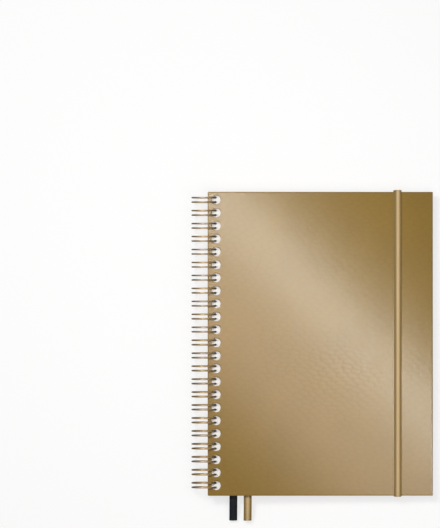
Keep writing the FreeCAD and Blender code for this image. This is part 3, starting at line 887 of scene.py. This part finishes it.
def corded_section():
    """The elastic's outline: crowned, with a ridge for each of its cords."""
    half, thick = ELASTIC_WIDTH / 2, ELASTIC_THICKNESS / 2
    steps = np.linspace(-1, 1, ELASTIC_CORDS * 6 + 1)
    crown = thick * (1 - steps**2) ** 0.5
    valley = CORD_DEPTH * (1 - np.abs(np.sin(steps * math.pi * ELASTIC_CORDS / 2)))
    upper = [(s * half, max(0.04, c - v)) for s, c, v in zip(steps, crown, valley)]
    return upper + [(x, -z) for x, z in reversed(upper)]


def make_elastic():
    """One band in three pieces: its two ends with their back runs, and the rest round the front."""
    half = ELASTIC_THICKNESS / 2
    edge = COVER_LENGTH / 2 + ELASTIC_GAP + half
    above, below = STACK + ELASTIC_GAP + half, -ELASTIC_GAP - half
    bed = COVER_THICKNESS - half
    slot = COVER_LENGTH / 2 - SLOT_INSET - ELASTIC_BEND
    tab = slot - ELASTIC_BEND - TAB_LENGTH + ELASTIC_GAP
    split = edge - 4 * ELASTIC_BEND
    head = edge + ELASTIC_SLACK

    def piece(name, corners):
        path = evenly(rounded(corners, ELASTIC_BEND), ELASTIC_STEP)
        band = strap("elastic_" + name, path, COVER_WIDTH - ELASTIC_INSET, corded_section(), elastic_weave_painted_light)
        return place(band, "back_board", "elastic", "elastic_band")

    for end, side in (("head", 1), ("tail", -1)):
        piece(end, [(side * y, z) for y, z in ((tab, bed), (slot, bed), (slot, below), (split, below))])
    back_head, back_tail = [(split, below), (head, below)], [(-edge, below), (-split, below)]
    front = piece("front", [*back_head, (head, above), (-edge, above), *back_tail])
    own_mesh(front)


def make_ribbon(colour, material):
    """A marker, flat between two leaves, its tail hanging out in one easy curve."""
    middle, height = RIBBONS[colour]
    z = LEAVES_BOTTOM + height
    head, mouth = COVER_LENGTH / 2 - RIBBON_HEAD_INSET, LEAVES_INSET - COVER_LENGTH / 2
    droop = math.asin((RIBBON_TAIL + LEAVES_INSET) / RIBBON_DROOP)
    turns = np.linspace(0, droop, 25)
    tail = [(mouth - RIBBON_DROOP * math.sin(t), z - RIBBON_DROOP * (1 - math.cos(t))) for t in turns]
    path = evenly([(head, z), (mouth + 2, z), *tail], RIBBON_STEP)
    half, thick = RIBBON_WIDTH / 2, RIBBON_THICKNESS / 2
    upper = [(s * half, thick * min(1.0, 0.35 + 12 * (1 - abs(s)))) for s in np.linspace(-1, 1, 17)]
    section = upper + [(x, -up) for x, up in reversed(upper)]
    inside = (head - mouth) / (head - mouth + RIBBON_DROOP * droop)

    def arch(share):
        return RIBBON_ARCH * max(0.0, (share - inside) / (1 - inside)) ** 0.5

    ribbon = strap("ribbon_" + colour + "_satin", path, middle, section, material, arch)
    place(ribbon, "bound_leaves", colour + "_ribbon", "ribbon_" + colour)


# ---------------------------------------------------------------- stage, lamps and camera

CAMERA_LENS, CAMERA_SENSOR = 350.0, 36.0
VIEW_CENTRE, VIEW_HEIGHT = (-0.0901, 0.09005), 0.5169
KEY_OFFSET, KEY_SIZE, KEY_LEVEL = (-0.75, 0.75, 1.9), 0.5, 0.42
STRIP_HEIGHT, STRIP_OVERHANG = 0.5, 0.25
SHEEN_START, SHEEN_END = (0.08, 0.486), (0.99, -0.205)
# each strip's name, how far it stands off the sheen's line, its width, level and colour
STRIPS = (
    ("sheen", 0.006, 0.03, 0.25, (1.0, 1.0, 0.97)),
    ("afterglow", 0.10, 0.09, 0.16, (1.0, 0.87, 0.82)),
)
CEILING, HORIZON = 0.17, 0.6


def make_floor():
    """A plain white floor, which keeps the book's shadow."""
    bpy.ops.mesh.primitive_plane_add(size=60)
    floor = bpy.context.object
    floor.name = "floor"
    n = Nodes("floor_white")
    path = n.tree.nodes.new("ShaderNodeLightPath")
    seen = n.math("MAXIMUM", path.outputs["Is Camera Ray"], path.outputs["Is Glossy Ray"])
    seen = n.math("MAXIMUM", seen, path.outputs["Is Transmission Ray"])
    matt = n.make("BsdfDiffuse", Color=(0.96, 0.96, 0.96, 1))
    white = n.make("Emission", Color=(1, 1, 1, 1), Strength=1.0)
    mixed = n.make("MixShader", n0=n.math("MULTIPLY", seen, 0.7), n1=matt, n2=white)
    n.make("OutputMaterial", Surface=mixed)
    floor.data.materials.append(n.material)


def make_world():
    """A dim ceiling over paler walls."""
    world = bpy.data.worlds.new("studio")
    world.use_nodes = True
    tree = world.node_tree
    tree.nodes.clear()
    way, split = tree.nodes.new("ShaderNodeTexCoord"), tree.nodes.new("ShaderNodeSeparateXYZ")
    level, light = tree.nodes.new("ShaderNodeMapRange"), tree.nodes.new("ShaderNodeBackground")
    out = tree.nodes.new("ShaderNodeOutputWorld")
    for name, value in (("From Min", 0.2), ("From Max", 0.85), ("To Min", HORIZON), ("To Max", CEILING)):
        level.inputs[name].default_value = value
    tree.links.new(way.outputs["Generated"], split.inputs[0])
    tree.links.new(split.outputs["Z"], level.inputs[0])
    tree.links.new(level.outputs[0], light.inputs["Strength"])
    tree.links.new(light.outputs[0], out.inputs[0])
    light.inputs["Color"].default_value = (1, 1, 1, 1)
    bpy.context.scene.world = world


def make_camera():
    """Straight above, from far off."""
    camera = bpy.data.cameras.new("camera")
    camera.lens, camera.sensor_width = CAMERA_LENS, CAMERA_SENSOR
    rig = bpy.data.objects.new("camera", camera)
    top = (to_world(0, 0, STACK).z + to_world(COVER_WIDTH, 0, STACK).z) / 2
    distance = VIEW_HEIGHT / 2 / (CAMERA_SENSOR / 2 / CAMERA_LENS)
    rig.location = (*VIEW_CENTRE, top + distance)
    camera.clip_end = 100
    bpy.context.scene.collection.objects.link(rig)
    bpy.context.scene.camera = rig
    return rig


def add_lamp(name, location, target, size_x, size_y, level, turn=0.0, colour=(1, 1, 1)):
    """A soft box, turned about its own axis.  level is the share of full light at its target."""
    data = bpy.data.lights.new(name, "AREA")
    data.shape, data.size, data.size_y = "RECTANGLE", size_x, size_y
    way = Vector(target) - Vector(location)
    slope, rolled = abs(way.normalized().z), Matrix.Rotation(turn, 3, "Z").to_quaternion()
    data.energy = level * math.pi**2 * way.length_squared / slope
    data.color = colour
    lamp = bpy.data.objects.new(name, data)
    lamp.location = location
    lamp.rotation_euler = (way.to_track_quat("-Z", "Y") @ rolled).to_euler()
    lamp.visible_camera = False
    bpy.context.scene.collection.objects.link(lamp)


def mirrored(camera, x, y, height):
    """Where, at a height, the camera sees itself led to by a mirror lying at a point of the front cover."""
    point = to_world(x, y, STACK)
    normal = (to_world(x, y, STACK + 1) - point).normalized()
    ray = (point - camera.location).normalized()
    leaving = ray - 2 * ray.dot(normal) * normal
    return point + leaving * ((height - point.z) / leaving.z)


def make_lamps(camera):
    """A key from the head side of the spine, and overhead strips whose sheen crosses the cover."""
    centre = to_world(COVER_WIDTH / 2, 0, STACK)
    add_lamp("key", centre + Vector(KEY_OFFSET), centre, KEY_SIZE, KEY_SIZE, KEY_LEVEL)
    start, end = (mirrored(camera, x * COVER_WIDTH, y * COVER_LENGTH, STRIP_HEIGHT)
                  for x, y in (SHEEN_START, SHEEN_END))
    along = (end - start).normalized()
    across = Vector((along.y, -along.x, 0))
    turn = math.atan2(along.y, along.x)
    length = (end - start).length + STRIP_OVERHANG
    for name, offset, width, level, colour in STRIPS:
        spot = (start + end) / 2 + across * offset
        add_lamp(name, spot, spot - Vector((0, 0, STRIP_HEIGHT)), length, width, level, turn, colour)


# ---------------------------------------------------------------- the scene

make_covers()
make_leaves()
make_wire()
make_elastic()
make_ribbon("black", black_satin_painted_light)
make_ribbon("gold", gold_satin_painted_light)
make_floor()
make_world()
make_lamps(make_camera())

bpy.context.scene.view_settings.view_transform = "Standard"
